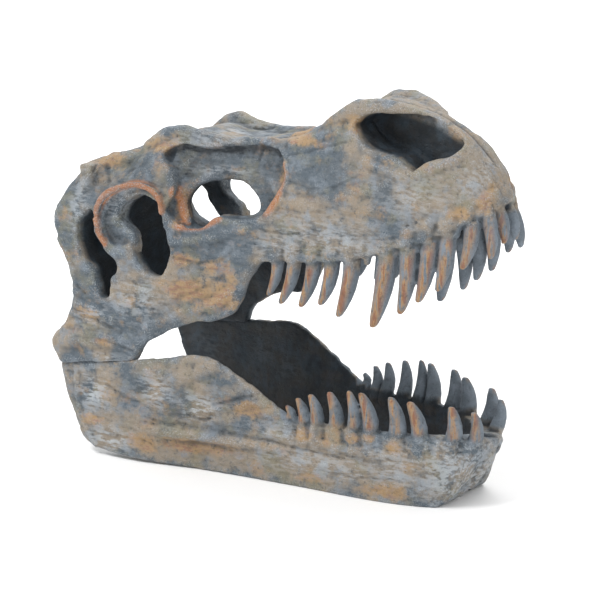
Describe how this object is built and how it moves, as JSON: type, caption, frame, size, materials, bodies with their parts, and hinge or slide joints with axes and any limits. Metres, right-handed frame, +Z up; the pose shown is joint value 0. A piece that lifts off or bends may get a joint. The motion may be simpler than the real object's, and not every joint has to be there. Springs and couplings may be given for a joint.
{
  "type": "dinosaur skull statue",
  "caption": "Cast resin skull of a large toothed dinosaur with open jaws, standing on its flat lower jaw as a shelf ornament.",
  "frame": {"origin": "centre of the bounding box at floor level, under the lower jaw", "axes": "+X towards the snout, +Z up, alike on both sides of the plane y = 0"},
  "size_m": [0.3768, 0.1834, 0.3089],
  "materials": {
    "premaxilla": "matte, painted and dry-brushed",
    "nasal": "matte, painted and dry-brushed",
    "maxilla_right": "matte, painted and dry-brushed",
    "maxilla_left": "matte, painted and dry-brushed",
    "brow": "matte, painted and dry-brushed",
    "lacrimal_right": "matte, painted and dry-brushed",
    "lacrimal_left": "matte, painted and dry-brushed",
    "cheek_right": "matte, painted and dry-brushed",
    "cheek_left": "matte, painted and dry-brushed",
    "braincase": "matte, painted and dry-brushed",
    "temple_right": "matte, painted and dry-brushed",
    "temple_left": "matte, painted and dry-brushed",
    "chin": "matte, painted and dry-brushed",
    "dentary_right": "matte, painted and dry-brushed",
    "dentary_left": "matte, painted and dry-brushed",
    "ramus_right": "matte, painted and dry-brushed",
    "ramus_left": "matte, painted and dry-brushed"
  },
  "bodies": {
    "root": {"premaxilla": "premaxilla", "nasal": "nasal", "maxilla_right": "maxilla_right", "maxilla_left": "maxilla_left", "brow": "brow", "lacrimal_right": "lacrimal_right", "lacrimal_left": "lacrimal_left", "cheek_right": "cheek_right", "cheek_left": "cheek_left", "braincase": "braincase", "temple_right": "temple_right", "temple_left": "temple_left", "chin": "chin", "dentary_right": "dentary_right", "dentary_left": "dentary_left", "ramus_right": "ramus_right", "ramus_left": "ramus_left"}
  },
  "joints": []
}
